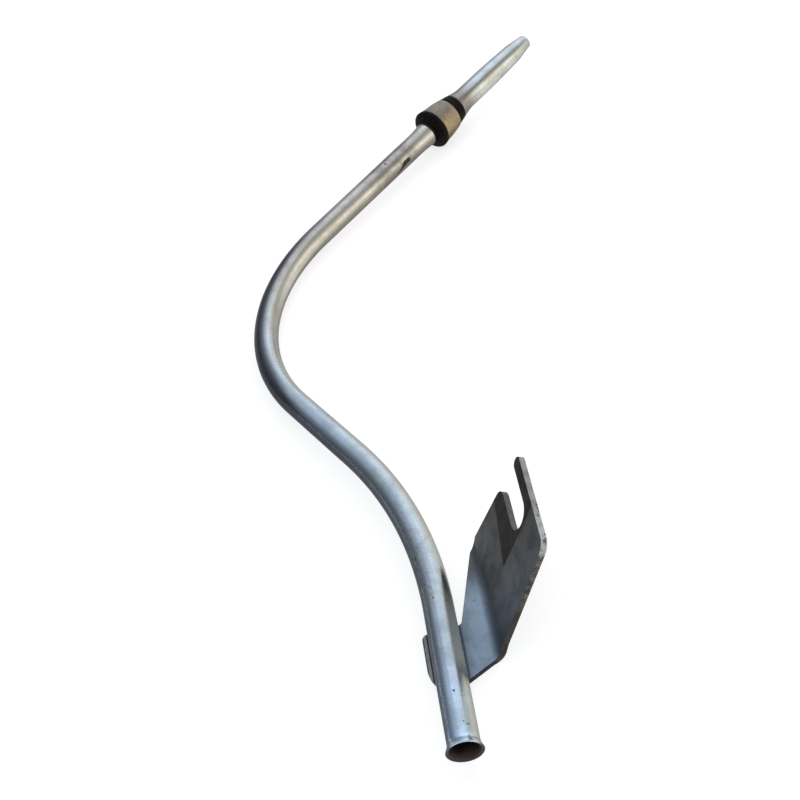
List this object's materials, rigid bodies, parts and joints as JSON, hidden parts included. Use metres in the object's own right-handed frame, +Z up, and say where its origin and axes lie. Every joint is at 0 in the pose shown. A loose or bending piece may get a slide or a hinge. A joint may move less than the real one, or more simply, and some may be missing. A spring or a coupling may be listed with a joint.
{
  "type": "oil dipstick tube",
  "caption": "Bent steel guide tube for an oil dipstick, with a belled mouth, a tapered nose, a sealing collar with rubber rings and a folded bracket with an open slot.",
  "frame": {"origin": "bottom centre of the part's box, on the surface that it lies on", "axes": "+Y from the mouth towards the nose along the mouth run, +X to the bracket's side, +Z up"},
  "size_m": [0.1498, 0.3652, 0.0383],
  "materials": {
    "zinc_tube": "worn zinc plating, satin, with pits and stains",
    "zinc_plate": "dull plated sheet, stained round the slot, rusty cut edges",
    "braze": "dull, oxidised",
    "seal_rubber": "satin black",
    "collar_metal": "tarnished, grey over yellow"
  },
  "bodies": {
    "root": {"guide_tube": "zinc_tube", "mounting_bracket": "zinc_plate", "braze_seams": "braze", "upper_seal": "seal_rubber", "stop_collar": "collar_metal", "lower_seal": "seal_rubber"}
  },
  "joints": []
}
